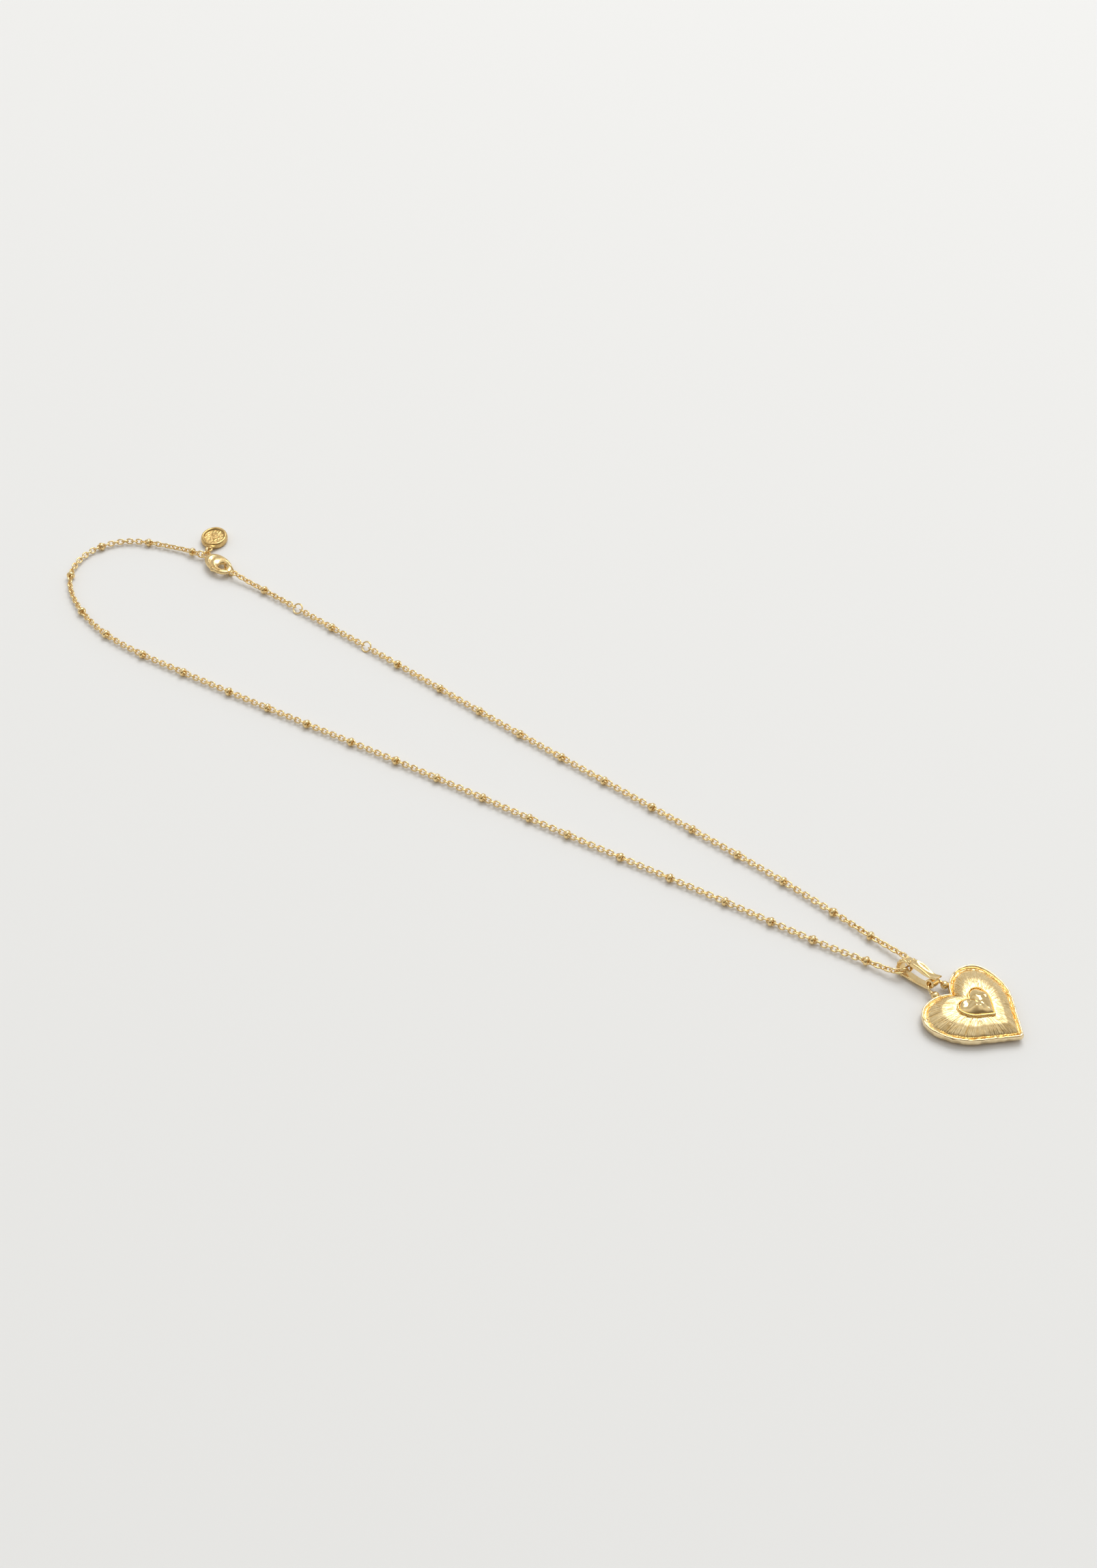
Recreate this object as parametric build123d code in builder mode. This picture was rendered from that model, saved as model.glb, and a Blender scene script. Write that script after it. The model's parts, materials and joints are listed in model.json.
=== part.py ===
from build123d import *
from math import acos, cos, degrees, radians, sin, tan
import os

# Heart pendant on a satellite chain, lying fastened on a flat surface. Millimetres, +Z up.
# The origin is the middle of the heart's flat back. The heart's tip points along -Y and
# the chain lies towards +Y.

# ---- driving dimensions ----
HEART_HALF_WIDTH = 11.2
LOBE_CENTRE_X = 6.02
LOBE_SIDE_R = HEART_HALF_WIDTH - LOBE_CENTRE_X
LOBE_CENTRE_Y = 5.34
LOBE_TOP_R = 8.14
FLANK_R = 12.86
FLANK_TURN = 46.3
TIP_ROUND = 0.8
RIM_TOP = 2.4
RIM_BASE = 0.8
RIM_WALL = 0.62
RIM_ROUND = 0.28
RIM_FOOT_ROUND = 0.25
FOOT_THICK = 1.0
FOOT_INSET = 0.95
FOOT_CHAMFER = 0.25
BACK_THICK = 1.3
BACK_INSET = 0.3
DOME_EDGE_SCALE = 0.93
DOME_LEVELS = (
    (DOME_EDGE_SCALE, 0.35, BACK_THICK),
    (0.92, 0.37, 2.1),
    (0.83, 0.3, 2.85),
    (0.68, 0.2, 3.45),
    (0.51, 0.1, 3.8),
    (0.4, 0.0, 3.9),
)
DOME_TOP = DOME_LEVELS[-1][2]
INNER_SCALE = 0.345
INNER_RISE = 0.6
INNER_LEVELS = ((INNER_SCALE, DOME_TOP), (0.33, 4.35), (0.25, 4.75), (0.12, 4.95))
BEZEL_SCALE = 0.384
BEZEL_TOP = 4.3

BALL_R = 0.95
BALL_X = 1.95
BALL_Y = 10.35
BALL_Z = 1.55
HANGER_WIRE = 0.5
COLLAR_R = 0.42
COLLAR_FROM = 0.8
COLLAR_LONG = 0.45
COLLAR_Z = 1.75
HANGER_BEND = 0.75

BAIL_AXIS = (0.05, 12.55, 2.45)
BAIL_YAW = -5.5
BAIL_LEAN = 19.0
BAIL_WIDTH = 2.6
BAIL_STRAP = 0.5
BAIL_TOP_U = 6.7
BAIL_TOP_R = 1.9
BARREL_R = 1.1
BARREL_BORE_R = 0.7
BARREL_LONG = 2.3
BARREL_GAP = 0.06
BARREL_ROUND = 0.15
STRAP_CURL = ((1.4, -1.15), (0.5, -0.6), (-0.6, -0.95))
STRAP_UNDER = (1.2, -1.62)
STRAP_FLAT_FROM = (3.0, 3.4)
GATE_HINGE = (6.35, 1.65)
GATE_WIDTH = 2.45
GATE_TOP = ((4.3, 2.2), (2.2, 1.95), (0.6, 1.75), (-1.1, 2.15))
GATE_LIP = ((-1.25, 1.85), (-0.4, 1.35))
GATE_SEAT = 0.8
GATE_NECK = (0.3, 0.7)
PIN_R = 0.2
PIN_PLAY = 0.03
KNUCKLE_R = 0.45
KNUCKLE_WIDE = 1.3
KNUCKLE_GAP = 0.06
DISH_R = 1.2
DISH_DEPTH_V = 1.62
DISH_FROM = 0.7
DISH_LONG = 4.0
GRANULE_R = 0.24
GRANULE_ROWS = 7
GRANULE_FROM = -50
GRANULE_SPAN = 104
GRANULE_COLUMNS = 5
GRANULE_STEP = 0.5
GRANULE_PROUD = 0.25

WIRE = 0.4
LINK_WIDTH = 1.6
LINK_SLACK = 0.06
BEAD_LINK_LONG = 1.72
BEAD_R = 1.1
BEAD_WIDE = 0.9
BEAD_ROUND = 0.42
ADJUST_RING_LONG = 2.1
ADJUST_WIRE = 0.42
STRAND_Z = 1.13
STRAND_ROLL = 45.0
ROLL_FROM = 9.0
ROLL_OVER = 12.0
TURN_SHARE = 0.585

JUMP_WIRE = 0.42
JUMP_R = 1.04
JUMP_REACH = 1.42
JUMP_Z = 1.7
CHAIN_TURN = 120.0
END_RING_R = 1.9
END_RING_WIRE = 0.5
END_RING_Z = 2.2
END_RING_AT = 9.45
END_RING_ASIDE = 0.55

CLAW_TAIL = (4.6, 242.7)
CLAW_TURN = -98.0
CLAW_Z = 1.75
CLAW_THICK = 1.4
CLAW_MIDDLE = 5.45
CLAW_HALF = (4.8, 2.75)
CLAW_ROUND = 0.35
TAIL_HOLE_R = 0.8
TAIL_R = 1.3
TAIL_THICK = 0.8
TAIL_NECK = (1.2, 1.5)
EYE_AT = 6.9
EYE_R = 1.6
PIVOT = (2.75, -1.0)
PIVOT_R = 0.28
PIVOT_PLAY = 0.04
CUTTER = 12.0
SEAM_V = 0.15
SHOULDER_U = PIVOT[0] + 0.95
LEVER_INNER = ((1.0, -1.1), (SHOULDER_U, -0.35), (EYE_AT - EYE_R, SEAM_V), (CUTTER, SEAM_V))
LEVER_EDGE = ((PIVOT[0] + 1.0, -0.78), (EYE_AT - 1.45, -0.78), (EYE_AT, -0.4), (CUTTER, -0.4))
LEVER_TIP_R = 5.75
LEVER_GAP = 0.08
TONGUE_THICK = 0.6
TONGUE_R = 0.78
TONGUE_CLEAR = 0.2
TONGUE_EDGE = (
    (PIVOT[0], -0.9),
    (PIVOT[0] + 1.4, -0.9),
    (PIVOT[0] + 1.4, -2.0),
    (PIVOT[0], PIVOT[1] - TONGUE_R),
)
SLOT_THICK = 0.72
SLOT_EDGE = (
    PIVOT,
    (PIVOT[0], -4.0),
    (PIVOT[0] + 3.0, -4.0),
    (PIVOT[0] + 3.0, -0.35),
    (PIVOT[0] + 0.3, -0.2),
)
NUB = (4.6, -2.55)
NUB_R = 0.45
NUB_THICK = 0.9

CHARM_TURN = 29.8
CHARM_MIDDLE = 8.0
CHARM_HALF = (3.9, 3.55)
CHARM_THICK = 2.0
CHARM_FACE = 0.76
CHARM_RECESS = 0.5
CHARM_EYE = (2.62, 1.5)
CHARM_EYE_R = 1.0
CHARM_HOLE_R = 0.55
CHARM_EYE_THICK = 0.5
CHARM_ROUND = 0.7
CHARM_STEM = ((2.9, 1.25), (4.3, 0.3), (5.0, 0.3), (5.0, 0.9), (4.6, 1.28), (3.3, 1.75), (2.9, 1.75))
CHARM_STEM_HALF = 0.88
STUDS = (((-0.5, -0.25), 0.55), ((0.75, 0.35), 0.38))
STUD_HIGH = 0.22
STUD_ROUND = 0.18

# ---- the chain's route, from the clasp's jump ring round to the end ring ----
NEAR_ROUTE = [
    (3.475, 244.649, JUMP_Z),
    (3.45, 247.7, 1.3),
    (1.55, 252.9, STRAND_Z),
    (-1.1, 259.6, STRAND_Z),
    (-5.4, 265.6, STRAND_Z),
    (-11.9, 268.6, STRAND_Z),
    (-19.3, 268.2, STRAND_Z),
    (-26.0, 263.6, STRAND_Z),
    (-30.9, 255.2, STRAND_Z),
    (-33.9, 244.0, STRAND_Z),
    (-34.1, 232.0, STRAND_Z),
    (-31.6, 214.5, STRAND_Z),
    (-27.6, 188.5, STRAND_Z),
    (-20.6, 147.5, STRAND_Z),
    (-14.7, 104.5, STRAND_Z),
    (-8.3, 63.5, STRAND_Z),
    (-6.35, 48.5, STRAND_Z),
    (-4.5, 36.0, STRAND_Z),
    (-3.3, 29.8, 1.25),
    (-2.45, 24.0, 1.6),
]
TURN_ROUTE = [
    (-2.2, 21.0, 2.0),
    (-1.0, 19.05, 2.35),
    (0.6, 18.4, 2.4),
    (2.2, 19.05, 2.3),
    (3.2, 21.0, 2.0),
]
FAR_ROUTE = [
    (3.45, 24.0, 1.6),
    (3.75, 29.8, 1.25),
    (4.3, 36.0, STRAND_Z),
    (5.0, 48.5, STRAND_Z),
    (5.5, 63.0, STRAND_Z),
    (5.15, 97.0, STRAND_Z),
    (4.55, 135.0, STRAND_Z),
    (4.85, 176.0, STRAND_Z),
    (4.55, 206.0, STRAND_Z),
    (4.35, 222.0, STRAND_Z),
    (3.8, 227.4, 1.55),
    (3.613, 231.73, END_RING_Z),
]
ROUTE = [Vector(*p) for p in NEAR_ROUTE + TURN_ROUTE + FAR_ROUTE]

# the share of the shorter run beside a corner that its arc takes up
ARC_SHARE = 0.45

# links between one bead and the next, from the clasp round to the end ring
NEAR_GAPS = (1, 9, 9, 10, 11, 8, 9, 9, 10, 8, 8, 9, 9, 8, 9, 9, 7, 10, 9, 10, 8, 7, 9)
TURN_GAP = 18
FAR_GAPS = (7, 10, 9, 9, 8, 10, 9, 9, 9, 9, 10)
ADJUST_GAPS = (7, 8, 8, 8)
LAST_GAP = 8
LINKS_PER_NODE = 27

os.makedirs("parts", exist_ok=True)


def save(builder, name):
    """Label a finished sub-part and write it."""
    builder.part.label = name
    export_step(builder.part, f"parts/{name}.step")


# ---- the heart ----
def half_heart(k, inset):
    """The right half of the heart's outline, k times full size, with every arc drawn in by inset."""
    top_r = k * LOBE_TOP_R - inset
    side_r = k * LOBE_SIDE_R - inset
    flank_r = k * FLANK_R - inset
    lobe_x = k * LOBE_CENTRE_X
    lobe_y = k * LOBE_CENTRE_Y
    top_y = lobe_y + side_r - top_r
    flank_x = lobe_x + side_r - flank_r
    notch_angle = 180 - degrees(acos(lobe_x / top_r))
    turn = radians(FLANK_TURN)
    last = (flank_x + flank_r * cos(turn), lobe_y - flank_r * sin(turn))
    CenterArc((lobe_x, top_y), top_r, notch_angle, 90 - notch_angle)
    CenterArc((lobe_x, lobe_y), side_r, 90, -90)
    CenterArc((flank_x, lobe_y), flank_r, 0, -FLANK_TURN)
    Line(last, (0, last[1] - last[0] / tan(turn)))


def heart_face(k=1.0, inset=0.0, height=0.0, rise=0.0):
    """A heart as a flat sketch at a height, scaled by k, drawn in by inset and moved up by rise."""
    with BuildSketch(Plane((0, rise, height))) as sketch:
        with BuildLine():
            half_heart(k, inset)
            mirror(about=Plane.YZ)
        make_face()
        fillet(sketch.vertices().sort_by(Axis.Y)[0], TIP_ROUND * k)
    return sketch


def dome_rise(k):
    """How far a heart of scale k sits towards the notch, so that the small heart is off centre."""
    return INNER_RISE * min(1.0, (DOME_EDGE_SCALE - k) / (DOME_EDGE_SCALE - BEZEL_SCALE))


with BuildPart() as heart_back:
    add(heart_face(inset=FOOT_INSET).sketch)
    extrude(amount=FOOT_THICK)
    chamfer(heart_back.faces().sort_by(Axis.Z)[0].edges(), FOOT_CHAMFER)
    add(heart_face(inset=BACK_INSET, height=FOOT_THICK).sketch)
    extrude(amount=BACK_THICK - FOOT_THICK)
save(heart_back, "heart_back")

with BuildPart() as heart_rim:
    add(heart_face(height=RIM_BASE).sketch)
    extrude(amount=RIM_TOP - RIM_BASE)
    add(heart_face(inset=RIM_WALL, height=RIM_BASE).sketch)
    extrude(amount=RIM_TOP - RIM_BASE, mode=Mode.SUBTRACT)
    fillet(heart_rim.faces().sort_by(Axis.Z)[-1].edges(), RIM_ROUND)
    foot_edges = heart_rim.faces().sort_by(Axis.Z)[0].outer_wire().edges()
    fillet(foot_edges, RIM_FOOT_ROUND)
    add(heart_back.part, mode=Mode.SUBTRACT)
save(heart_rim, "heart_rim")

with BuildPart() as heart_dome:
    for scale, inset, level in DOME_LEVELS:
        add(heart_face(k=scale, inset=inset, height=level, rise=dome_rise(scale)).sketch)
    loft()
save(heart_dome, "heart_dome")

with BuildPart() as inner_bezel:
    add(heart_face(k=BEZEL_SCALE, height=DOME_TOP, rise=INNER_RISE).sketch)
    extrude(amount=BEZEL_TOP - DOME_TOP)
    add(heart_face(k=INNER_SCALE, height=DOME_TOP, rise=INNER_RISE).sketch)
    extrude(amount=BEZEL_TOP - DOME_TOP, mode=Mode.SUBTRACT)
save(inner_bezel, "inner_bezel")

with BuildPart() as inner_heart:
    for scale, level in INNER_LEVELS:
        add(heart_face(k=scale, height=level, rise=INNER_RISE).sketch)
    loft()
save(inner_heart, "inner_heart")

# ---- the hanger: a bent wire, a ball and a collar at each end ----
with BuildPart() as hanger_wire:
    with BuildLine() as hoop:
        FilletPolyline(
            (-BALL_X, BALL_Y + BALL_R / 2, BALL_Z),
            (-BALL_X, BAIL_AXIS[1], BAIL_AXIS[2]),
            (BALL_X, BAIL_AXIS[1], BAIL_AXIS[2]),
            (BALL_X, BALL_Y + BALL_R / 2, BALL_Z),
            radius=HANGER_BEND,
        )
    with BuildSketch(hoop.line ^ 0):
        Circle(HANGER_WIRE / 2)
    sweep()
save(hanger_wire, "hanger_wire")

with BuildPart() as hanger_balls:
    with Locations((-BALL_X, BALL_Y, BALL_Z), (BALL_X, BALL_Y, BALL_Z)):
        Sphere(BALL_R)
    add(hanger_wire.part, mode=Mode.SUBTRACT)
    add(heart_rim.part, mode=Mode.SUBTRACT)
save(hanger_balls, "hanger_balls")

with BuildPart() as hanger_collars:
    for side in (-1, 1):
        with BuildSketch(Plane((side * BALL_X, BALL_Y + COLLAR_FROM, COLLAR_Z), z_dir=(0, 1, 0))):
            Circle(COLLAR_R)
        extrude(amount=COLLAR_LONG)
    add(hanger_wire.part, mode=Mode.SUBTRACT)
    add(hanger_balls.part, mode=Mode.SUBTRACT)
save(hanger_collars, "hanger_collars")

# ---- the bail: a strap loop with a hinged gate, drawn in its own leaning plane ----
BAIL = Plane(BAIL_AXIS).rotated((0, BAIL_LEAN, BAIL_YAW))


def bail_side(x=0.0):
    """The bail's side view at a distance x across it: u runs along the bail and v up."""
    return Plane(BAIL.from_local_coords(Vector(x, 0, 0)), x_dir=BAIL.y_dir, z_dir=BAIL.x_dir)


with BuildPart() as bail_barrel:
    with BuildSketch(bail_side()):
        Circle(BARREL_R)
        Circle(BARREL_BORE_R, mode=Mode.SUBTRACT)
    extrude(amount=BARREL_LONG / 2, both=True)
    ends = bail_barrel.edges().filter_by(GeomType.CIRCLE)
    fillet(ends.group_by(SortBy.RADIUS)[-1], BARREL_ROUND)
save(bail_barrel, "bail_barrel")

STRAP_IN = BAIL_TOP_R - BAIL_STRAP
EARS = (KNUCKLE_WIDE / 2 + KNUCKLE_GAP, BAIL_WIDTH / 2)
with BuildPart() as bail_frame:
    with BuildSketch(bail_side()):
        with Locations((BAIL_TOP_U, 0)):
            Circle(BAIL_TOP_R)
            Circle(STRAP_IN, mode=Mode.SUBTRACT)
        with Locations((BAIL_TOP_U - BAIL_TOP_R, 0)):
            Rectangle(2 * BAIL_TOP_R, 2 * BAIL_TOP_R, mode=Mode.SUBTRACT)
        with BuildLine():
            Polyline((BAIL_TOP_U, -STRAP_IN), (STRAP_FLAT_FROM[0], -STRAP_IN), *STRAP_CURL)
            flat_from = (STRAP_FLAT_FROM[1], -BAIL_TOP_R)
            Spline(STRAP_CURL[-1], STRAP_UNDER, flat_from, tangents=((1, -0.5), (1, 0)))
            Polyline(flat_from, (BAIL_TOP_U, -BAIL_TOP_R), (BAIL_TOP_U, -STRAP_IN))
        make_face()
        Circle(BARREL_R, mode=Mode.SUBTRACT)
    extrude(amount=BAIL_WIDTH / 2, both=True)
    with BuildSketch(bail_side()):
        with Locations(GATE_HINGE):
            Circle(KNUCKLE_R)
    extrude(amount=BAIL_WIDTH / 2, both=True)
    with BuildSketch(bail_side()):
        with Locations(GATE_HINGE):
            Circle(KNUCKLE_R + KNUCKLE_GAP)
    extrude(amount=EARS[0], both=True, mode=Mode.SUBTRACT)
    with BuildSketch(bail_side()):
        with Locations(GATE_HINGE):
            Circle(PIN_R)
    extrude(amount=BAIL_WIDTH, both=True, mode=Mode.SUBTRACT)
save(bail_frame, "bail_frame")

with BuildPart() as bail_pin:
    with BuildSketch(bail_side()):
        with Locations(GATE_HINGE):
            Circle(PIN_R)
    extrude(amount=BAIL_WIDTH / 2, both=True)
save(bail_pin, "bail_pin")

with BuildPart() as bail_gate:
    with BuildSketch(bail_side()):
        with BuildLine():
            hinge_top = (GATE_HINGE[0], GATE_HINGE[1] + KNUCKLE_R)
            Spline(hinge_top, *GATE_TOP, tangents=((-1, 0.15), (-1, 0.6)))
            Polyline(
                GATE_TOP[-1],
                *GATE_LIP,
                (0.0, BARREL_R + BARREL_GAP),
                (GATE_SEAT, BARREL_R + BARREL_GAP),
                (GATE_HINGE[0], GATE_HINGE[1] - KNUCKLE_R),
                hinge_top,
            )
        make_face()
    extrude(amount=GATE_WIDTH / 2, both=True)
    with BuildSketch(bail_side()):
        with Locations(GATE_HINGE):
            Circle(KNUCKLE_R + KNUCKLE_GAP)
    extrude(amount=GATE_WIDTH, both=True, mode=Mode.SUBTRACT)
    with BuildSketch(bail_side()):
        with Locations(GATE_HINGE):
            Circle(KNUCKLE_R)
    extrude(amount=KNUCKLE_WIDE / 2, both=True)
    with BuildSketch(bail_side()):
        with Locations((GATE_HINGE[0] - KNUCKLE_R / 2, GATE_HINGE[1])):
            Rectangle(KNUCKLE_R + GATE_NECK[0], GATE_NECK[1])
    extrude(amount=KNUCKLE_WIDE / 2, both=True)
    with BuildSketch(bail_side()):
        with Locations(GATE_HINGE):
            Circle(PIN_R + PIN_PLAY)
    extrude(amount=GATE_WIDTH, both=True, mode=Mode.SUBTRACT)
    dish_start = BAIL.from_local_coords(Vector(0, DISH_FROM, DISH_DEPTH_V + DISH_R))
    trough = Plane(dish_start, z_dir=BAIL.y_dir)
    with BuildSketch(trough):
        Circle(DISH_R)
    extrude(amount=DISH_LONG, mode=Mode.SUBTRACT)
save(bail_gate, "bail_gate")

with BuildPart() as bail_granules:
    for row in range(GRANULE_ROWS):
        turn = radians(GRANULE_FROM + GRANULE_SPAN * row / (GRANULE_ROWS - 1))
        reach = BAIL_TOP_R + GRANULE_PROUD * GRANULE_R
        count = GRANULE_COLUMNS - row % 2
        for column in range(count):
            across = (column - (count - 1) / 2) * GRANULE_STEP
            spot = Vector(across, BAIL_TOP_U + reach * cos(turn), reach * sin(turn))
            with Locations(BAIL.from_local_coords(spot)):
                Sphere(GRANULE_R)
    add(bail_frame.part, mode=Mode.SUBTRACT)
save(bail_granules, "bail_granules")

# ---- the chain: oval links, beads on links of their own, and two rings to shorten it ----
def corner_radius(before, corner, after):
    """The largest arc that the two runs beside a corner allow."""
    half_turn = radians((corner - before).get_angle(after - corner)) / 2
    shorter = min((corner - before).length, (after - corner).length)
    return ARC_SHARE * shorter / tan(half_turn)


RADII = [corner_radius(*ROUTE[i - 1 : i + 2]) for i in range(1, len(ROUTE) - 1)]
print("route radii", [round(r, 1) for r in RADII])
with BuildLine() as route_line:
    FilletPolyline(*ROUTE, radius=RADII)
CHAIN_PATH = Wire(route_line.edges())
CHAIN_LONG = CHAIN_PATH.length

kinds = []
for gap in NEAR_GAPS:
    kinds += ["link"] * gap + ["bead"]
kinds += ["link"] * TURN_GAP + ["bead"]
for gap in FAR_GAPS:
    kinds += ["link"] * gap + ["bead"]
for gap, end in zip(ADJUST_GAPS, ("ring", "bead", "ring", "bead")):
    kinds += ["link"] * gap + [end]
kinds += ["link"] * LAST_GAP

FIXED = {"bead": BEAD_LINK_LONG, "ring": ADJUST_RING_LONG}
fixed_long = sum(FIXED[kind] for kind in kinds if kind in FIXED)
pitch = (CHAIN_LONG - fixed_long) / kinds.count("link")
print("chain", round(CHAIN_LONG, 2), "links", kinds.count("link"), "pitch", round(pitch, 4))


def link_spot(start, end, roll):
    """Where one link lies: x along the chain, and its flat turned by roll about x."""
    ends = [CHAIN_PATH.position_at(s / CHAIN_LONG) for s in (start, end)]
    along = (ends[1] - ends[0]).normalized()
    up = Vector(0, 0, 1) - along * along.Z
    level = Plane((ends[0] + ends[1]) * 0.5, x_dir=along, z_dir=up)
    return level.location * Location((0, 0, 0), (roll, 0, 0))


def roll_at(distance):
    """The chain lies square in the bail and at its ends and rolls over between them."""
    turn_at = CHAIN_LONG * TURN_SHARE
    clear = min(distance, CHAIN_LONG - distance, abs(distance - turn_at))
    return STRAND_ROLL * max(0.0, min(1.0, (clear - ROLL_FROM) / ROLL_OVER))


def oval_link(long, wire, width):
    """A closed oval ring of round wire, flat on XY, whose opening is long from end to end."""
    half = (width - wire) / 2
    reach = (long + wire) / 2 - half
    with BuildPart() as link:
        with BuildLine() as loop:
            Line((-reach, half), (reach, half))
            ThreePointArc((reach, half), (reach + half, 0), (reach, -half))
            Line((reach, -half), (-reach, -half))
            ThreePointArc((-reach, -half), (-reach - half, 0), (-reach, half))
        with BuildSketch(Plane((0, half, 0), z_dir=(1, 0, 0))):
            Circle(wire / 2)
        sweep(path=loop.line)
    return link


plain_link = oval_link(pitch + LINK_SLACK, WIRE, LINK_WIDTH)
with BuildPart() as bead_unit:
    add(oval_link(BEAD_LINK_LONG + LINK_SLACK, WIRE, LINK_WIDTH).part)
    with BuildSketch(Plane.XY) as bead_profile:
        with Locations((0, BEAD_R / 2)):
            Rectangle(BEAD_WIDE, BEAD_R)
        fillet(bead_profile.vertices().group_by(Axis.Y)[-1], BEAD_ROUND)
    revolve(axis=Axis.X)
with BuildPart() as adjust_ring:
    with BuildSketch(Plane.XZ):
        with Locations(((ADJUST_RING_LONG + LINK_SLACK + ADJUST_WIRE) / 2, 0)):
            Circle(ADJUST_WIRE / 2)
    revolve(axis=Axis.Z)

spans = [[]]
beads = []
rings = []
at = 0.0
for number, kind in enumerate(kinds):
    long = FIXED.get(kind, pitch)
    spot = link_spot(at, at + long, roll_at(at + long / 2) + 90 * (number % 2))
    at += long
    if kind == "bead":
        beads.append(spot)
        if len(spans[-1]) >= LINKS_PER_NODE:
            spans.append([])
    elif kind == "ring":
        rings.append(spot)
    else:
        spans[-1].append(spot)

for number, span in enumerate(spans, 1):
    with BuildPart() as chain_span:
        with Locations(*span):
            add(plain_link.part)
    save(chain_span, f"chain_span_{number:02}")

with BuildPart() as station_beads:
    with Locations(*beads):
        add(bead_unit.part)
save(station_beads, "station_beads")

for number, spot in enumerate(rings, 1):
    with BuildPart() as adjuster:
        with Locations(spot):
            add(adjust_ring.part)
    save(adjuster, f"adjuster_ring_{number}")

# ---- the clasp: jump rings, a lobster claw with a sprung lever, and the end ring it holds ----
CLAW = Plane((*CLAW_TAIL, CLAW_Z), x_dir=Vector(1, 0, 0).rotate(Axis.Z, CLAW_TURN), z_dir=(0, 0, 1))
CHARM = Plane((*CLAW_TAIL, 0), x_dir=Vector(1, 0, 0).rotate(Axis.Z, CHARM_TURN), z_dir=(0, 0, 1))


def upright_ring(reach, turn, height, ring_r, wire, aside=0.0):
    """A round ring on edge in line with turn, its middle at reach from the claw's tail and aside."""
    along = Vector(1, 0, 0).rotate(Axis.Z, turn)
    across = along.rotate(Axis.Z, 90)
    middle = Vector(*CLAW_TAIL, height) + along * reach + across * aside
    with BuildPart() as ring:
        with BuildSketch(Plane(middle, x_dir=along, z_dir=(0, 0, 1))):
            with Locations((ring_r, 0)):
                Circle(wire / 2)
        revolve(axis=Axis(middle, across))
    return ring


chain_jump = upright_ring(JUMP_REACH, CHAIN_TURN, JUMP_Z, JUMP_R, JUMP_WIRE)
save(chain_jump, "chain_jump_ring")
charm_jump = upright_ring(JUMP_REACH, CHARM_TURN, JUMP_Z, JUMP_R, JUMP_WIRE)
save(charm_jump, "charm_jump_ring")
end_ring = upright_ring(END_RING_AT, CLAW_TURN, END_RING_Z, END_RING_R, END_RING_WIRE, END_RING_ASIDE)
save(end_ring, "end_ring")

with BuildPart() as clasp_claw:
    with BuildSketch(CLAW.offset(-CLAW_THICK / 2)):
        with Locations((CLAW_MIDDLE, 0)):
            Ellipse(*CLAW_HALF)
        with Locations((EYE_AT, 0)):
            Circle(EYE_R, mode=Mode.SUBTRACT)
    extrude(amount=CLAW_THICK)
    rims = clasp_claw.faces().filter_by(Axis.Z).edges()
    fillet(rims, CLAW_ROUND)
    with BuildSketch(CLAW.offset(-CLAW_THICK / 2)):
        with Locations(PIVOT):
            Circle(LEVER_TIP_R + LEVER_GAP)
        with BuildLine():
            Polyline(
                *LEVER_INNER,
                (CUTTER, CUTTER),
                (-CUTTER, CUTTER),
                (-CUTTER, LEVER_INNER[0][1]),
                close=True,
            )
        make_face(mode=Mode.SUBTRACT)
        with Locations((SHOULDER_U - CUTTER / 2, 0)):
            Rectangle(CUTTER, 2 * CUTTER, mode=Mode.SUBTRACT)
    extrude(amount=CLAW_THICK, mode=Mode.SUBTRACT)
    with BuildSketch(CLAW.offset(-SLOT_THICK / 2)):
        with Locations(PIVOT):
            Circle(TONGUE_R + TONGUE_CLEAR)
        with BuildLine():
            Polyline(*SLOT_EDGE, close=True)
        make_face()
    extrude(amount=SLOT_THICK, mode=Mode.SUBTRACT)
    with BuildSketch(CLAW.offset(-TAIL_THICK / 2)):
        Circle(TAIL_R)
        with Locations((TAIL_R, 0)):
            Rectangle(*TAIL_NECK)
    extrude(amount=TAIL_THICK)
    with BuildSketch(CLAW.offset(-CLAW_THICK / 2)):
        Circle(TAIL_HOLE_R)
        with Locations(PIVOT):
            Circle(PIVOT_R)
    extrude(amount=CLAW_THICK, mode=Mode.SUBTRACT)
save(clasp_claw, "clasp_claw")

with BuildPart() as clasp_lever:
    with BuildSketch(CLAW.offset(-CLAW_THICK / 2)):
        with Locations((CLAW_MIDDLE, 0)):
            Ellipse(*CLAW_HALF)
    extrude(amount=CLAW_THICK)
    fillet(clasp_lever.faces().filter_by(Axis.Z).edges(), CLAW_ROUND)
    with BuildSketch(CLAW.offset(-CLAW_THICK / 2)):
        with Locations(PIVOT):
            Circle(LEVER_TIP_R)
        with Locations((EYE_AT, 0)):
            Circle(EYE_R, mode=Mode.SUBTRACT)
        with BuildLine():
            Polyline(
                *LEVER_EDGE,
                (CUTTER, CUTTER),
                (-CUTTER, CUTTER),
                (-CUTTER, -CUTTER),
                (LEVER_EDGE[0][0], -CUTTER),
                close=True,
            )
        make_face(mode=Mode.SUBTRACT)
    extrude(amount=CLAW_THICK, mode=Mode.INTERSECT)
    with BuildSketch(CLAW.offset(-NUB_THICK / 2)):
        with Locations(NUB):
            Circle(NUB_R)
    extrude(amount=NUB_THICK)
    with BuildSketch(CLAW.offset(-TONGUE_THICK / 2)):
        with Locations(PIVOT):
            Circle(TONGUE_R)
        with BuildLine():
            Polyline(*TONGUE_EDGE, close=True)
        make_face()
        with Locations(PIVOT):
            Circle(PIVOT_R + PIVOT_PLAY, mode=Mode.SUBTRACT)
    extrude(amount=TONGUE_THICK)
save(clasp_lever, "clasp_lever")

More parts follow.
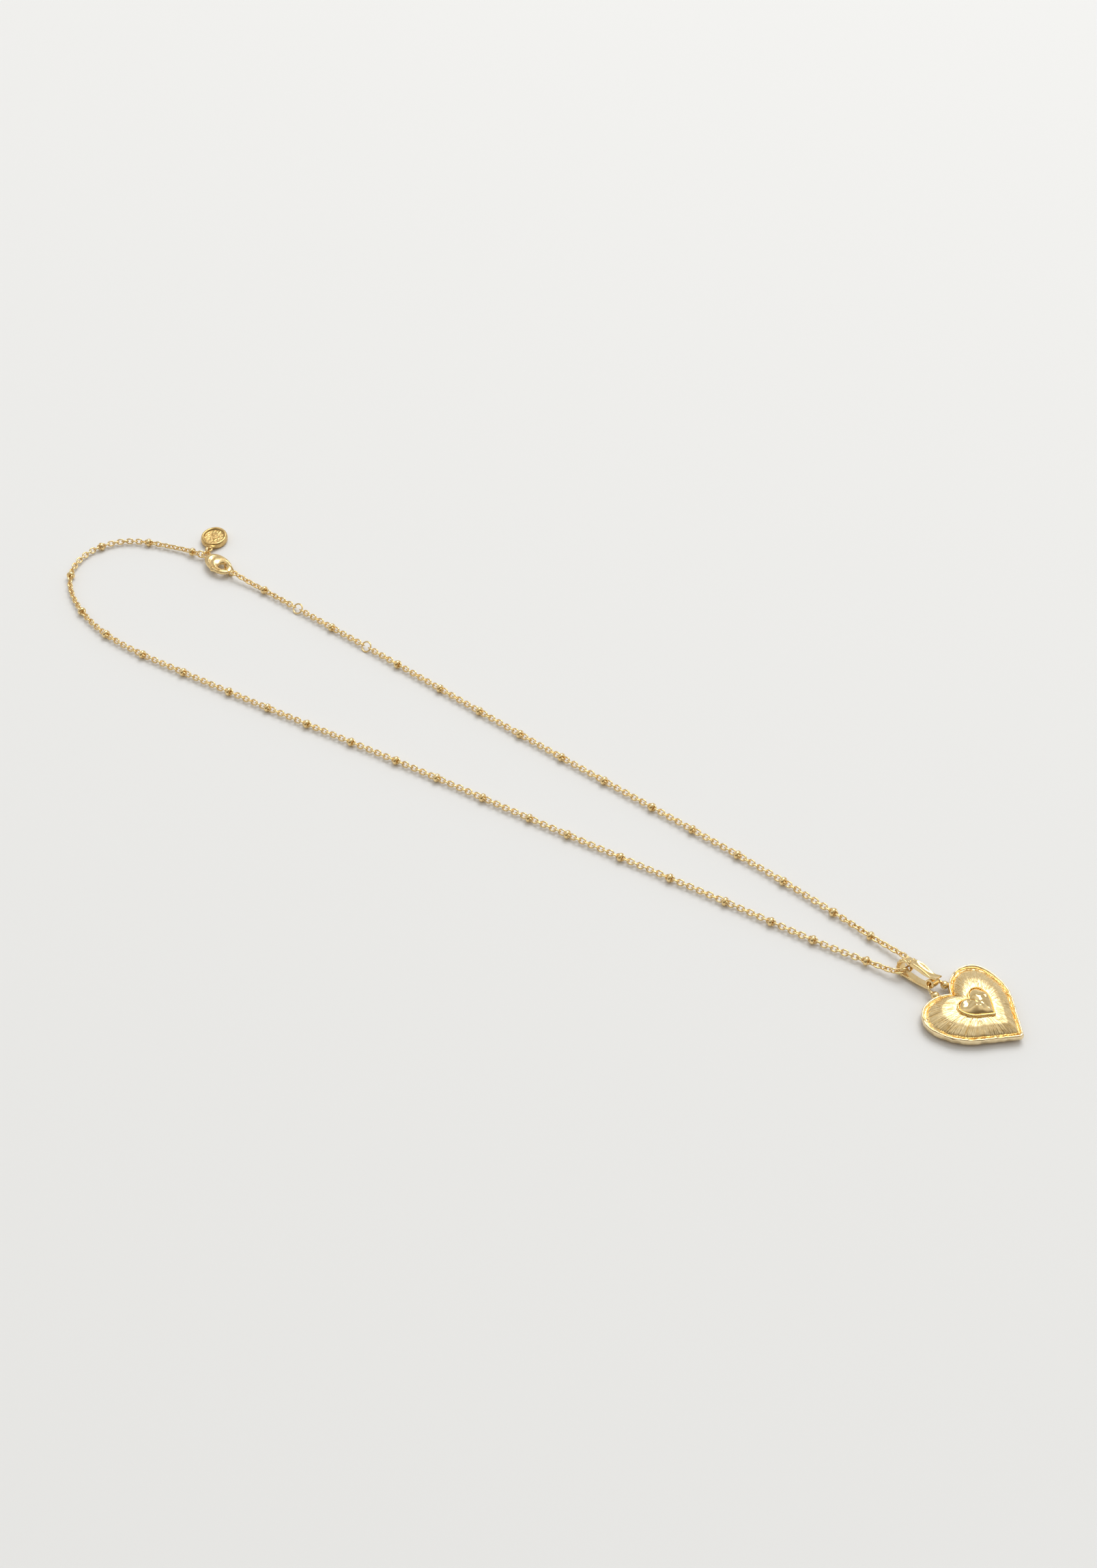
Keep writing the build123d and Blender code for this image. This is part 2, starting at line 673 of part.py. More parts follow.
with BuildPart() as clasp_pivot:
    with BuildSketch(CLAW.offset(-CLAW_THICK / 2)):
        with Locations(PIVOT):
            Circle(PIVOT_R)
    extrude(amount=CLAW_THICK)
save(clasp_pivot, "clasp_pivot")

# ---- the round charm on its own jump ring ----
with BuildPart() as charm_disc:
    with BuildSketch(CHARM):
        with Locations((CHARM_MIDDLE, 0)):
            Ellipse(*CHARM_HALF)
    extrude(amount=CHARM_THICK)
    fillet(charm_disc.faces().filter_by(Axis.Z).edges(), CHARM_ROUND)
    with BuildSketch(CHARM.offset(CHARM_THICK - CHARM_RECESS)):
        with Locations((CHARM_MIDDLE, 0)):
            Ellipse(CHARM_FACE * CHARM_HALF[0], CHARM_FACE * CHARM_HALF[1])
    extrude(amount=CHARM_RECESS, mode=Mode.SUBTRACT)
    side = Plane(CHARM.origin, x_dir=CHARM.x_dir, z_dir=-CHARM.y_dir)
    with BuildSketch(side):
        with BuildLine():
            Polyline(*CHARM_STEM, close=True)
        make_face()
    extrude(amount=CHARM_STEM_HALF, both=True)
    with BuildSketch(CHARM.offset(CHARM_EYE[1] - CHARM_EYE_THICK / 2)):
        with Locations((CHARM_EYE[0], 0)):
            Circle(CHARM_EYE_R)
    extrude(amount=CHARM_EYE_THICK)
    with BuildSketch(CHARM):
        with Locations((CHARM_EYE[0], 0)):
            Circle(CHARM_HOLE_R)
    extrude(amount=2 * CHARM_EYE[1], mode=Mode.SUBTRACT)
save(charm_disc, "charm_disc")

with BuildPart() as charm_studs:
    with BuildSketch(CHARM.offset(CHARM_THICK - CHARM_RECESS)):
        for (along, across), radius in STUDS:
            with Locations((CHARM_MIDDLE + along, across)):
                Circle(radius)
    extrude(amount=STUD_HIGH)
    fillet(charm_studs.faces().sort_by(Axis.Z)[-2:].edges(), STUD_ROUND)
save(charm_studs, "charm_studs")
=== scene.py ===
import json
import math

import bpy
import numpy as np
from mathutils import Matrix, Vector


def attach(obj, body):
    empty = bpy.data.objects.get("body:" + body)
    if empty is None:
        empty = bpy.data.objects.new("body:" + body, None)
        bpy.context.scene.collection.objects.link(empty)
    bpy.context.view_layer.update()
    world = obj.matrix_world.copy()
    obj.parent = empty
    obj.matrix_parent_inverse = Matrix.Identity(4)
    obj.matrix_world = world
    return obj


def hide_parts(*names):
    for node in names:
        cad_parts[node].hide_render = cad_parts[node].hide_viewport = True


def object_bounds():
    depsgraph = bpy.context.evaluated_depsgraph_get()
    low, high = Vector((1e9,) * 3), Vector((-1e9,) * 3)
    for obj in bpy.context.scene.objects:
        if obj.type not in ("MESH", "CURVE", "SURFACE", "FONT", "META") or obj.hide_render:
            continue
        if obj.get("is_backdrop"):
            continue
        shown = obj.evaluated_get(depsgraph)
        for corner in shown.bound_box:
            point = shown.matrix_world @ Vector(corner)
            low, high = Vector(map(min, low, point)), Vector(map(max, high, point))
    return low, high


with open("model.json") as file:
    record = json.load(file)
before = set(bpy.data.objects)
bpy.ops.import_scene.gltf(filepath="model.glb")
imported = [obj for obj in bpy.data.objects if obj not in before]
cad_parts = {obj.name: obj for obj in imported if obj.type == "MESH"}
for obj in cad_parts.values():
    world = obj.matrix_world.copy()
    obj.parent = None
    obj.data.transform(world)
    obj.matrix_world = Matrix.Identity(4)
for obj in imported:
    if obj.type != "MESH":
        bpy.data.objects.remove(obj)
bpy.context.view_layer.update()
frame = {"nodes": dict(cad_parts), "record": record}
nodes = frame["nodes"]
MM = 0.001

# ---- camera ----
camera_data = bpy.data.cameras.new("camera")
camera = bpy.data.objects.new("camera", camera_data)
bpy.context.scene.collection.objects.link(camera)
bpy.context.scene.camera = camera
camera_data.lens = 50.2
camera_data.sensor_width = 36.0
camera_data.clip_start = 0.01
camera_data.dof.use_dof = False
EYE = Vector((-0.2912, -0.1139, 0.3769))
AIM = Vector((-0.00343, 0.11832, 0.0))
camera.location = EYE
camera.rotation_euler = (AIM - EYE).to_track_quat("-Z", "Y").to_euler()


# ---- mesh helpers ----
def new_object(name, vertices, faces):
    """A smooth-shaded mesh object from points in metres and the corners of each face."""
    mesh = bpy.data.meshes.new(name)
    mesh.from_pydata(np.asarray(vertices).tolist(), [], faces)
    mesh.update()
    mesh.polygons.foreach_set("use_smooth", [True] * len(mesh.polygons))
    obj = bpy.data.objects.new(name, mesh)
    bpy.context.scene.collection.objects.link(obj)
    return obj


def clamp(value):
    """A number held between 0 and 1."""
    return max(0.0, min(1.0, value))


def steps_round(count):
    """Angles at even steps round a full turn."""
    return np.arange(count) * 2 * np.pi / count


def circle(count):
    """Unit vectors at even steps round a circle, flat on XY."""
    turns = steps_round(count)
    return np.c_[np.cos(turns), np.sin(turns), np.zeros(count)]


def ring_faces(rows, columns, wrap_rows=False):
    """Quads between rows of points, each row closed on itself."""
    faces = []
    for i in range(rows if wrap_rows else rows - 1):
        low = i * columns
        high = ((i + 1) % rows) * columns
        for j in range(columns):
            k = (j + 1) % columns
            faces.append((low + j, low + k, high + k, high + j))
    return faces


def outward(points, faces):
    """The faces of one closed shell, turned to look out of it."""
    corners = [(face[0], face[i], face[i + 1]) for face in faces for i in range(1, len(face) - 1)]
    a, b, c = (np.asarray(points)[[corner[i] for corner in corners]] for i in range(3))
    if (a * np.cross(b, c)).sum() < 0:
        return [tuple(face[::-1]) for face in faces]
    return faces


def shell(rows):
    """Points and faces of a closed shell from rows of points, its ends closed with fans."""
    rows = np.asarray(rows)
    count, columns = rows.shape[:2]
    points = rows.reshape(-1, 3)
    ends = np.array([rows[0].mean(0), rows[-1].mean(0)])
    faces = ring_faces(count, columns)
    last = (count - 1) * columns
    for j in range(columns):
        k = (j + 1) % columns
        faces.append((count * columns, k, j))
        faces.append((count * columns + 1, last + j, last + k))
    points = np.vstack([points, ends])
    return points, outward(points, faces)


def tube_loop(centre, normal, radius, sides):
    """Points round a closed centreline: sides points round each of its points."""
    turns = steps_round(sides)
    out = normal[:, None, :] * np.cos(turns)[None, :, None]
    lift = np.array([0, 0, 1.0])[None, None, :] * np.sin(turns)[None, :, None]
    return centre[:, None, :] + radius * (out + lift)


def joined(name, shells):
    """One object of several closed shells given in millimetres."""
    points, faces = [], []
    for more_points, more_faces in shells:
        first = sum(len(p) for p in points)
        points.append(np.asarray(more_points) * MM)
        faces += [tuple(corner + first for corner in face) for face in more_faces]
    return new_object(name, np.vstack(points), faces)


def dress(obj, slot, body, *replaced):
    """Give a piece its material and the body that carries it, and hide the CAD nodes it stands for."""
    obj.data.materials.append(MATERIALS[slot])
    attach(obj, body)
    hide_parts(*replaced)


def grid_normals(grid, wrap_rows=False):
    """Unit normals of a grid of points whose rows are closed."""
    along = np.roll(grid, -1, 1) - np.roll(grid, 1, 1)
    if wrap_rows:
        down = np.roll(grid, -1, 0) - np.roll(grid, 1, 0)
    else:
        down = np.gradient(grid, axis=0)
    normal = np.cross(down, along)
    return normal / np.maximum(np.linalg.norm(normal, axis=2, keepdims=True), 1e-9)


def smooth_table(table, at):
    """A smooth curve through the rows of a table, read at positions from 0 to 1."""
    table = np.asarray(table, float)
    slope = np.gradient(table, axis=0)
    place = np.clip(np.asarray(at) * (len(table) - 1), 0, len(table) - 1 - 1e-9)
    i = place.astype(int)
    f = (place - i)[:, None]
    a, b, da, db = table[i], table[i + 1], slope[i], slope[i + 1]
    return (
        a * (1 + 2 * f) * (1 - f) ** 2
        + b * f * f * (3 - 2 * f)
        + da * f * (1 - f) ** 2
        - db * f * f * (1 - f)
    )


# ---- repeatable noise ----
HASH_RATES = (12.9898, 78.233)
HASH_SCALE = 43758.5453
PLANE_SHIFT = 40
PLANE_WRAP = 400


def hashed(seed, *cells):
    """A number from 0 to 1 for each whole-number cell, the same on every run."""
    total = np.full(np.shape(cells[0]), seed * 0.137 + 0.61)
    for cell, rate in zip(cells, HASH_RATES):
        total = total + np.asarray(cell) * rate
    value = np.sin(total) * HASH_SCALE
    return value - np.floor(value)


def value_noise(seed, x, y, wrap):
    """Smooth noise from -1 to 1; x repeats every wrap cells."""
    i, j = np.floor(x), np.floor(y)
    fx, fy = x - i, y - j
    fx, fy = fx * fx * (3 - 2 * fx), fy * fy * (3 - 2 * fy)
    total = 0
    for di, wx in ((0, 1 - fx), (1, fx)):
        for dj, wy in ((0, 1 - fy), (1, fy)):
            total = total + wx * wy * hashed(seed, np.mod(i + di, wrap), j + dj)
    return 2 * total - 1


def round_noise(share, scale, waves):
    """The sum of (seed, height, cells round, cells outwards) waves of noise on one row of the heart."""
    total = 0
    for seed, height, cells, outwards in waves:
        level = np.full(len(share), scale * outwards)
        total = total + height * value_noise(seed, share * cells, level, cells)
    return total


def flat_noise(x, y, waves):
    """The sum of (seed, height, width of a cell) waves of noise over a plane."""
    total = 0
    for seed, height, cell in waves:
        u, v = x / cell + PLANE_SHIFT, y / cell + PLANE_SHIFT
        total = total + height * value_noise(seed, u, v, PLANE_WRAP)
    return total


# ---- materials ----
GOLD = (0.92, 0.71, 0.37)
GOLD_DEEP = (0.84, 0.6, 0.27)
TONE_SCALE = 900.0
MARK_SCALE = 2500.0


def gold(name, colour=GOLD, deep=GOLD_DEEP, rough=0.16, bump=0.004):
    """Yellow gold with uneven tone, faint polishing marks and a fine bump, given in millimetres."""
    material = bpy.data.materials.new(name)
    material.use_nodes = True
    tree = material.node_tree
    shader = tree.nodes["Principled BSDF"]
    shader.inputs["Metallic"].default_value = 1.0
    where = tree.nodes.new("ShaderNodeTexCoord")
    tone = tree.nodes.new("ShaderNodeTexNoise")
    tone.inputs["Scale"].default_value = TONE_SCALE
    tone.inputs["Detail"].default_value = 4.0
    ramp = tree.nodes.new("ShaderNodeValToRGB")
    ramp.color_ramp.elements[0].position = 0.3
    ramp.color_ramp.elements[0].color = (*deep, 1)
    ramp.color_ramp.elements[1].position = 0.62
    ramp.color_ramp.elements[1].color = (*colour, 1)
    fine = tree.nodes.new("ShaderNodeTexNoise")
    fine.inputs["Scale"].default_value = MARK_SCALE
    fine.inputs["Detail"].default_value = 6.0
    spread = tree.nodes.new("ShaderNodeMapRange")
    spread.inputs["From Min"].default_value = 0.3
    spread.inputs["From Max"].default_value = 0.7
    spread.inputs["To Min"].default_value = rough * 0.7
    spread.inputs["To Max"].default_value = rough * 1.35
    relief = tree.nodes.new("ShaderNodeBump")
    relief.inputs["Strength"].default_value = 0.5
    relief.inputs["Distance"].default_value = bump * MM
    links = tree.links
    links.new(where.outputs["Object"], tone.inputs["Vector"])
    links.new(where.outputs["Object"], fine.inputs["Vector"])
    links.new(tone.outputs["Fac"], ramp.inputs["Fac"])
    links.new(ramp.outputs["Color"], shader.inputs["Base Color"])
    links.new(fine.outputs["Fac"], spread.inputs["Value"])
    links.new(spread.outputs["Result"], shader.inputs["Roughness"])
    links.new(fine.outputs["Fac"], relief.inputs["Height"])
    links.new(relief.outputs["Normal"], shader.inputs["Normal"])
    return material


MATERIALS = {
    "chain_gold": gold("chain_gold", rough=0.2),
    "bead_gold": gold("bead_gold", rough=0.2),
    "smooth_gold": gold("smooth_gold", rough=0.2),
    "clasp_gold": gold("clasp_gold", rough=0.24),
    "hammered_gold": gold("hammered_gold", (0.92, 0.75, 0.46), (0.85, 0.66, 0.37)),
    "polished_gold": gold("polished_gold", rough=0.11),
    "granulated_gold": gold("granulated_gold", rough=0.22),
    "engraved_gold": gold("engraved_gold", (0.92, 0.73, 0.41), (0.83, 0.61, 0.29), rough=0.3, bump=0.01),
    "charm_gold": gold("charm_gold", (0.78, 0.55, 0.24), (0.52, 0.35, 0.13), rough=0.34, bump=0.02),
    "pin_steel": gold("pin_steel", (0.72, 0.6, 0.4), (0.5, 0.4, 0.25), rough=0.25),
}
for subpart in frame["record"]["subparts"]:
    carried = nodes[subpart["node"]].data
    carried.materials.clear()
    carried.materials.append(MATERIALS[subpart["material_slot"]])

# ---- the chain: one cord of links, with beads and sizing rings on it ----
LINK_Z = 1.13
ROUTE_MM = [
    (3.475, 244.649, 1.7),
    (3.45, 247.7, 1.3),
    (1.55, 252.9, LINK_Z),
    (-1.1, 259.6, LINK_Z),
    (-5.4, 265.6, LINK_Z),
    (-11.9, 268.6, LINK_Z),
    (-19.3, 268.2, LINK_Z),
    (-26.0, 263.6, LINK_Z),
    (-30.9, 255.2, LINK_Z),
    (-33.9, 244.0, LINK_Z),
    (-34.1, 232.0, LINK_Z),
    (-31.6, 214.5, LINK_Z),
    (-27.6, 188.5, LINK_Z),
    (-20.6, 147.5, LINK_Z),
    (-14.7, 104.5, LINK_Z),
    (-8.3, 63.5, LINK_Z),
    (-6.35, 48.5, LINK_Z),
    (-4.5, 36.0, LINK_Z),
    (-3.3, 29.8, 1.25),
    (-2.45, 24.0, 1.6),
    (-2.2, 21.0, 2.0),
    (-1.0, 19.05, 2.35),
    (0.6, 18.4, 2.4),
    (2.2, 19.05, 2.3),
    (3.2, 21.0, 2.0),
    (3.45, 24.0, 1.6),
    (3.75, 29.8, 1.25),
    (4.3, 36.0, LINK_Z),
    (5.0, 48.5, LINK_Z),
    (5.5, 63.0, LINK_Z),
    (5.15, 97.0, LINK_Z),
    (4.55, 135.0, LINK_Z),
    (4.85, 176.0, LINK_Z),
    (4.55, 206.0, LINK_Z),
    (4.35, 222.0, LINK_Z),
    (3.8, 227.4, 1.55),
    (3.613, 231.73, 2.2),
]
# links before each bead or ring: from the clasp to the bail, through it, back up, and past the rings
NEAR_GAPS = (1, 9, 9, 10, 11, 8, 9, 9, 10, 8, 8, 9, 9, 8, 9, 9, 7, 10, 9, 10, 8, 7, 9)
TURN_GAP = 18
FAR_GAPS = (7, 10, 9, 9, 8, 10, 9, 9, 9, 9, 10)
ADJUST_GAPS = (7, 8, 8, 8)
ADJUST_ENDS = ("ring", "bead", "ring", "bead")
LAST_GAP = 8
WIRE = 0.4
LINK_WIDTH = 1.6
LINK_STEPS = 9
LINK_SIDES = 10
# how much longer a link's opening is than its pitch
SLACK = 0.06
BEAD_LINK = 1.72
RING_LONG = 2.1
# how far each link is rolled about its length, in degrees, and over which stretch that sets in
STRAND_ROLL = 45.0
ROLL_FROM = 9.0
ROLL_OVER = 12.0
TURN_SHARE = 0.585
# small differences between the links' rolls, as (degrees, rate, shift) of sines
WOBBLE = ((7.0, 2.4, 0.0), (5.0, 0.71, 1.0))

curve = bpy.data.curves.new("route", "CURVE")
curve.dimensions = "3D"
spline = curve.splines.new("NURBS")
spline.points.add(len(ROUTE_MM) - 1)
for point, place in zip(spline.points, ROUTE_MM):
    point.co = (*(Vector(place) * MM), 1.0)
spline.order_u = 3
spline.use_endpoint_u = True
spline.resolution_u = 40
route = bpy.data.objects.new("route", curve)
bpy.context.scene.collection.objects.link(route)
bpy.context.view_layer.update()
route_mesh = bpy.data.meshes.new_from_object(route)
PATH = np.array([v.co for v in route_mesh.vertices]) / MM
bpy.data.objects.remove(route)
bpy.data.curves.remove(curve)
bpy.data.meshes.remove(route_mesh)
STEPS = np.r_[0, np.cumsum(np.linalg.norm(np.diff(PATH, axis=0), axis=1))]
CHAIN_LONG = STEPS[-1]


def path_at(distance):
    """The point on the chain's centreline that far along it, in millimetres."""
    return np.array([np.interp(distance, STEPS, PATH[:, axis]) for axis in range(3)])


def roll_at(distance):
    """The chain lies square in the bail and at its ends and rolls over between them."""
    clear = min(distance, CHAIN_LONG - distance, abs(distance - CHAIN_LONG * TURN_SHARE))
    return STRAND_ROLL * clamp((clear - ROLL_FROM) / ROLL_OVER)


def spot(start, end, roll):
    """The middle and the three axes of a link that spans two distances, rolled about its length."""
    a, b = path_at(start), path_at(end)
    along = (b - a) / np.linalg.norm(b - a)
    up = np.array([0, 0, 1]) - along * along[2]
    up /= np.linalg.norm(up)
    across = np.cross(up, along)
    c, s = math.cos(math.radians(roll)), math.sin(math.radians(roll))
    return (a + b) / 2, np.array([along, across * c + up * s, up * c - across * s])


def link_points(long):
    """A closed oval link of round wire, flat on XY, whose opening is long from end to end."""
    half = (LINK_WIDTH - WIRE) / 2
    reach = max((long + WIRE) / 2 - half, 0.0)
    turns = np.linspace(-np.pi / 2, np.pi / 2, LINK_STEPS)
    right = np.c_[np.cos(turns), np.sin(turns), np.zeros(LINK_STEPS)]
    left = -right
    centre = np.vstack([right * half + (reach, 0, 0), left * half - (reach, 0, 0)])
    return tube_loop(centre, np.vstack([right, left]), WIRE / 2, LINK_SIDES)


def stamp(shape, spots):
    """Copies of one closed ring shape at each spot, as points in metres and faces."""
    rows, columns = shape.shape[:2]
    local = shape.reshape(-1, 3)
    middle, axes = spots[0]
    ring = outward(middle + local @ axes, ring_faces(rows, columns, wrap_rows=True))
    points, faces = [], []
    for middle, axes in spots:
        first = len(points) * len(local)
        faces += [tuple(corner + first for corner in face) for face in ring]
        points.append((middle + local @ axes) * MM)
    return np.vstack(points), faces


kinds = []
for gap in NEAR_GAPS:
    kinds += ["link"] * gap + ["bead"]
kinds += ["link"] * TURN_GAP + ["bead"]
for gap in FAR_GAPS:
    kinds += ["link"] * gap + ["bead"]
for gap, end in zip(ADJUST_GAPS, ADJUST_ENDS):
    kinds += ["link"] * gap + [end]
kinds += ["link"] * LAST_GAP
FIXED = {"bead": BEAD_LINK, "ring": RING_LONG}
pitch = (CHAIN_LONG - sum(FIXED.get(kind, 0) for kind in kinds)) / kinds.count("link")

laid = {"link": [], "bead": [], "ring": []}
at = 0.0
for number, kind in enumerate(kinds):
    long = FIXED.get(kind, pitch)
    wobble = sum(size * math.sin(number * rate + shift) for size, rate, shift in WOBBLE)
    roll = roll_at(at + long / 2)
    laid[kind].append(spot(at, at + long, roll + wobble * roll / STRAND_ROLL + 90 * (number % 2)))
    at += long

points, faces = stamp(link_points(pitch + SLACK), laid["link"])
chain = new_object("chain_links", points, faces)
dress(chain, "chain_gold", "chain", *[name for name in nodes if name.startswith("chain_span")])

# ---- the disc beads, each with the longer link that carries it ----
BEAD_R = 1.1
BEAD_HALF = 0.5
BEAD_BORE = 0.42
BEAD_LIP = 0.12
BEAD_MOUTH = 0.86
BEAD_SQUARE = 0.62
BEAD_STEPS = 11
BEAD_SIDES = 28
profile = [(-BEAD_HALF * BEAD_MOUTH, BEAD_BORE)]
for turn in np.linspace(-0.5 * np.pi, 0.5 * np.pi, BEAD_STEPS):
    reach = abs(math.cos(turn)) ** BEAD_SQUARE
    radius = BEAD_BORE + BEAD_LIP + (BEAD_R - BEAD_BORE - BEAD_LIP) * reach
    profile.append((BEAD_HALF * math.sin(turn), radius))
profile.append((BEAD_HALF * BEAD_MOUTH, BEAD_BORE))
spin = steps_round(BEAD_SIDES)
disc = np.array([[(x, r * math.cos(a), r * math.sin(a)) for a in spin] for x, r in profile])
points, faces = stamp(disc, laid["bead"])
carriers, more = stamp(link_points(BEAD_LINK + SLACK), laid["bead"])
faces += [tuple(corner + len(points) for corner in face) for face in more]
beads = new_object("bead_row", np.vstack([points, carriers]), faces)
dress(beads, "bead_gold", "chain", "station_beads")

# ---- the sizing rings ----
RING_WIRE = 0.42
RING_COLUMNS = 48
RING_SIDES = 14
ring_r = (RING_LONG + SLACK + RING_WIRE) / 2
out = circle(RING_COLUMNS)
for number, place in enumerate(laid["ring"], 1):
    points, faces = stamp(tube_loop(out * ring_r, out, RING_WIRE / 2, RING_SIDES), [place])
    ring = new_object(f"sizing_ring_{number}", points, faces)
    dress(ring, "clasp_gold", f"adjuster_{number}", f"adjuster_ring_{number}")

# ---- the heart's outline ----
HALF_WIDTH = 11.2
LOBE_X = 6.02
LOBE_Y = 5.34
LOBE_TOP_R = 8.14
LOBE_SIDE_R = HALF_WIDTH - LOBE_X
FLANK_R = 12.86
FLANK_TURN = math.radians(46.3)
TIP_ROUND = 0.8
EDGE_SCALE = 0.93
BEZEL_SCALE = 0.384
INNER_SCALE = 0.345
INNER_RISE = 0.6
PERIMETER = 70.0
# shares of half the outline's points on the lobe's top, its side, the flank's arc and its straight run
OUTLINE_SHARES = (0.19, 0.23, 0.29, 0.26)


def arc(centre, radius, start, end, count):
    """Points along an arc, leaving out its last one."""
    turns = np.linspace(start, end, count, endpoint=False)
    return np.c_[centre[0] + radius * np.cos(turns), centre[1] + radius * np.sin(turns)]


def outline(scale, inset, columns, rise=0.0):
    """The heart's outline from notch to tip and back, at a scale of full size and drawn in by inset."""
    top_r, side_r, flank_r = (scale * r - inset for r in (LOBE_TOP_R, LOBE_SIDE_R, FLANK_R))
    lobe_x, lobe_y = scale * LOBE_X, scale * LOBE_Y
    top_y = lobe_y + side_r - top_r
    flank_x = lobe_x + side_r - flank_r
    notch_turn = math.pi - math.acos(min(1.0, lobe_x / top_r))
    last_x = flank_x + flank_r * math.cos(FLANK_TURN)
    last_y = lobe_y - flank_r * math.sin(FLANK_TURN)
    tip_y = last_y - last_x / math.tan(FLANK_TURN)
    round_r = TIP_ROUND * scale
    tip_middle = tip_y + round_r / math.sin(FLANK_TURN)
    tip_start = (round_r * math.cos(FLANK_TURN), tip_middle - round_r * math.sin(FLANK_TURN))
    counts = [int(share * columns / 2) for share in OUTLINE_SHARES]
    steps = np.linspace(0, 1, counts[3], endpoint=False)[:, None]
    line = np.array([(last_x, last_y)]) * (1 - steps) + np.array([tip_start]) * steps
    tip_count = columns // 2 - sum(counts)
    right = np.vstack(
        [
            arc((lobe_x, top_y), top_r, notch_turn, math.pi / 2, counts[0]),
            arc((lobe_x, lobe_y), side_r, math.pi / 2, 0, counts[1]),
            arc((flank_x, lobe_y), flank_r, 0, -FLANK_TURN, counts[2]),
            line,
            arc((0, tip_middle), round_r, -FLANK_TURN, -math.pi / 2, tip_count),
        ]
    )
    bottom = np.array([[0, tip_middle - round_r]])
    left = right[:0:-1] * (-1, 1)
    return np.vstack([right, bottom, left]) + (0, rise)


def rise_of(scale):
    """How far the heart's outline at a scale sits towards the notch."""
    return INNER_RISE * min(1.0, (EDGE_SCALE - scale) / (EDGE_SCALE - BEZEL_SCALE))


def at_height(flat, z):
    """The points of an outline, all at one height."""
    return np.c_[flat, np.full(len(flat), z)]


# ---- the heart's domed and engraved face ----
# sets of cuts: how many, the scales at which they start and end, how deep they are,
# and whether their ends are ragged
CUT_SETS = ((190, 0.38, 0.95, 0.9, 1), (210, 0.66, 0.945, 0.9, 0), (120, 0.36, 0.64, 0.8, 1))
CUT_SEED = 11
CUT_SHIFT = 0.9
CUT_LEAN = 0.012
LEAN_SCALE = 0.6
START_SPREAD = 0.16
END_SPREAD = 0.22
CUT_FADE = 0.05
CUT_DEPTH = 0.035
DEPTH_SPREAD = 0.06
CUT_HALF = 0.06
HALF_SPREAD = 0.08
LEAST_SCALE = 0.35


def engraving(share, scale):
    """Depth of the radiating cuts at places round the heart, for one row at a scale."""
    depth = np.zeros_like(share)
    for row, (count, inner, outer, strength, ragged) in enumerate(CUT_SETS):
        number = np.arange(count)
        shift, lean, late, early, deep = (hashed(CUT_SEED + row * 7 + i, number) for i in range(5))
        middle = (number + CUT_SHIFT * shift) / count + (lean - 0.5) * CUT_LEAN * (scale - LEAN_SCALE)
        start = inner + START_SPREAD * late * ragged
        end = outer - END_SPREAD * early * ragged
        fade = np.clip((scale - start) / CUT_FADE, 0, 1) * np.clip((end - scale) / CUT_FADE, 0, 1)
        cut = strength * (CUT_DEPTH + DEPTH_SPREAD * deep) * fade
        half = CUT_HALF + HALF_SPREAD * lean
        gap = share[:, None] - middle[None, :]
        gap = (gap - np.round(gap)) * PERIMETER * max(scale, LEAST_SCALE)
        depth += (cut * np.exp(-((gap / half) ** 2))).sum(1)
    return depth


DOME_COLUMNS = 1400
DOME_ROWS = 64
DOME_FOOT = 1.35
DOME_SWELL = ((5, 0.045, 26, 9), (6, 0.0225, 60, 16))
# the outer edge of the face is coarsely mottled, from this scale outwards
MOTTLE = ((7, 0.1, 95, 34),)
MOTTLE_SCALE = 0.92
MOTTLE_FADE = 0.02
# (scale of the outline, how far it is drawn in, height)
DOME_TABLE = (
    (0.995, 0.5, 1.82),
    (0.965, 0.45, 1.76),
    (0.942, 0.4, 1.84),
    (0.922, 0.36, 2.12),
    (0.896, 0.34, 2.46),
    (0.85, 0.32, 2.78),
    (0.77, 0.26, 3.2),
    (0.67, 0.2, 3.55),
    (0.56, 0.12, 3.74),
    (0.46, 0.04, 3.78),
    (0.37, 0.0, 3.72),
)
levels = smooth_table(DOME_TABLE, np.linspace(0, 1, DOME_ROWS))
share = np.arange(DOME_COLUMNS) / DOME_COLUMNS
dome = np.array(
    [at_height(outline(scale, inset, DOME_COLUMNS, rise_of(scale)), z) for scale, inset, z in levels]
)
normal = grid_normals(dome)
for row, scale in enumerate(levels[:, 0]):
    mottle = round_noise(share, scale, MOTTLE) * clamp((scale - MOTTLE_SCALE) / MOTTLE_FADE)
    lift = round_noise(share, scale, DOME_SWELL) + mottle - engraving(share, scale)
    dome[row] += normal[row] * lift[:, None]
foot = at_height(outline(*DOME_TABLE[0][:2], DOME_COLUMNS), DOME_FOOT)
heart_face = joined("heart_face", [shell(np.concatenate([foot[None], dome]))])
dress(heart_face, "engraved_gold", "pendant", "heart_dome")

# ---- the heart's hammered rim and the small heart's bezel ----
DENT_SEED = 31
DENT_MARGIN = 0.15
DENT_LEVEL = 0.35
DENT_LEAST = 0.5


